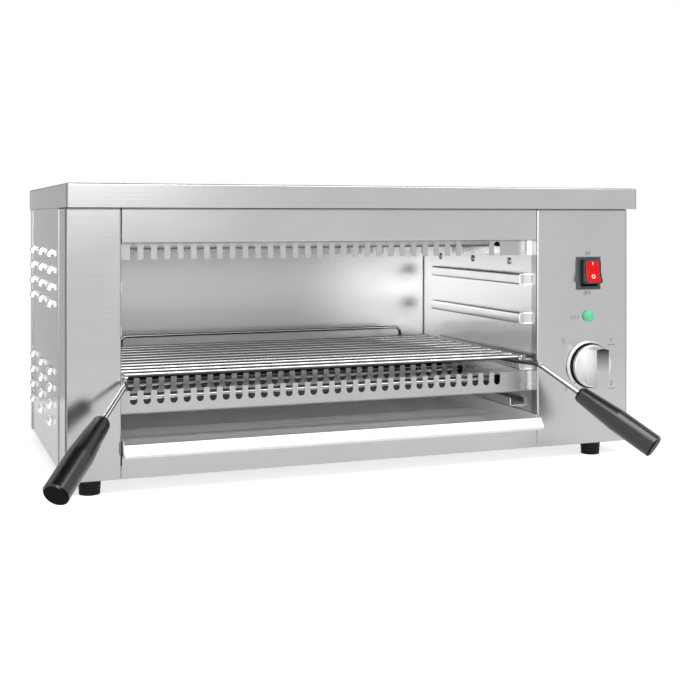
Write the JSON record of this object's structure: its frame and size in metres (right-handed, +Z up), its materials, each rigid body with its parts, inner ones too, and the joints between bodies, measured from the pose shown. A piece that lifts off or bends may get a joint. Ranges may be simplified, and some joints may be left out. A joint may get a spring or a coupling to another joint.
{
  "type": "salamander grill",
  "caption": "Stainless countertop salamander grill with an open front, slotted heater guards, a sliding wire rack with splayed handles, a crumb tray and a control panel.",
  "frame": {"origin": "on the worktop plane under the feet, below the middle of the top cover", "axes": "+X to the right seen from the front, +Y to the back, +Z up"},
  "size_m": [0.6422, 0.442, 0.29],
  "materials": {
    "satin_steel": "satin",
    "liner_steel": "bright satin",
    "bright_wire": "polished",
    "screw_steel": "plain",
    "black_grip": "satin",
    "foot_rubber": "matt",
    "tube_sheath": "polished",
    "holder_ceramic": "matt",
    "contact_brass": "plain",
    "bezel_plastic": "satin",
    "rocker_black": "gloss",
    "rocker_red": "gloss",
    "lamp_green": "gloss",
    "knob_silver": "satin",
    "knob_black": "gloss",
    "block_plastic": "matt",
    "wire_sleeve": "matt"
  },
  "bodies": {
    "cabinet": {"base_pan": "satin_steel", "cable_gland": "bezel_plastic", "cavity_left_wall": "liner_steel", "cavity_rear_wall": "liner_steel", "cavity_right_wall": "liner_steel", "ceiling_reflector": "liner_steel", "control_panel": "satin_steel", "cover_screws": "screw_steel", "element_links": "contact_brass", "feet": "foot_rubber", "foot_screws": "screw_steel", "gland_nut": "bezel_plastic", "heating_coils": "screw_steel", "holder_screws": "screw_steel", "lamp_body": "bezel_plastic", "lamp_lens": "lamp_green", "left_front_panel": "satin_steel", "left_shelf_rails": "liner_steel", "left_side_panel": "satin_steel", "left_tray_runner": "liner_steel", "lower_apron": "satin_steel", "lower_front_comb": "liner_steel", "lower_rear_comb": "liner_steel", "lower_tube_1": "tube_sheath", "lower_tube_2": "tube_sheath", "lower_tube_3": "tube_sheath", "rear_panel": "satin_steel", "right_shelf_rails": "liner_steel", "right_side_panel": "satin_steel", "right_tray_runner": "liner_steel", "rocker_housing": "bezel_plastic", "rocker_terminals": "contact_brass", "selector_switch": "bezel_plastic", "terminal_block": "block_plastic", "top_cover": "satin_steel", "tube_holders": "holder_ceramic", "tube_studs": "contact_brass", "upper_fascia": "satin_steel", "upper_front_comb": "liner_steel", "upper_rear_comb": "liner_steel", "upper_tube_1": "tube_sheath", "upper_tube_2": "tube_sheath", "upper_tube_3": "tube_sheath", "wiring": "wire_sleeve"},
    "rack": {"wire_rack": "bright_wire", "rack_back_stop": "bright_wire", "left_handle_rod": "bright_wire", "right_handle_rod": "bright_wire", "left_grip": "black_grip", "right_grip": "black_grip"},
    "tray": {"crumb_tray": "satin_steel"},
    "rocker": {"rocker_button": "rocker_black", "rocker_lens": "rocker_red"},
    "knob": {"selector_shaft": "screw_steel", "knob_skirt": "knob_silver", "knob_ring": "knob_black", "knob_cap": "knob_silver", "knob_grip": "knob_silver"}
  },
  "joints": [
    {"name": "rack_slide", "type": "slide", "parent": "cabinet", "child": "rack", "axis": [0, -1, 0], "range_m": [0, 0.2]},
    {"name": "tray_slide", "type": "slide", "parent": "cabinet", "child": "tray", "axis": [0, -1, 0], "range_m": [0, 0.25]},
    {"name": "rocker_tilt", "type": "hinge", "parent": "cabinet", "child": "rocker", "pos_m": [0.254, -0.1469, 0.198], "axis": [1, 0, 0], "range_deg": [0, 19]},
    {"name": "knob_turn", "type": "hinge", "parent": "cabinet", "child": "knob", "pos_m": [0.254, -0.16, 0.098], "axis": [0, 1, 0], "range_deg": [-135, 135]}
  ]
}
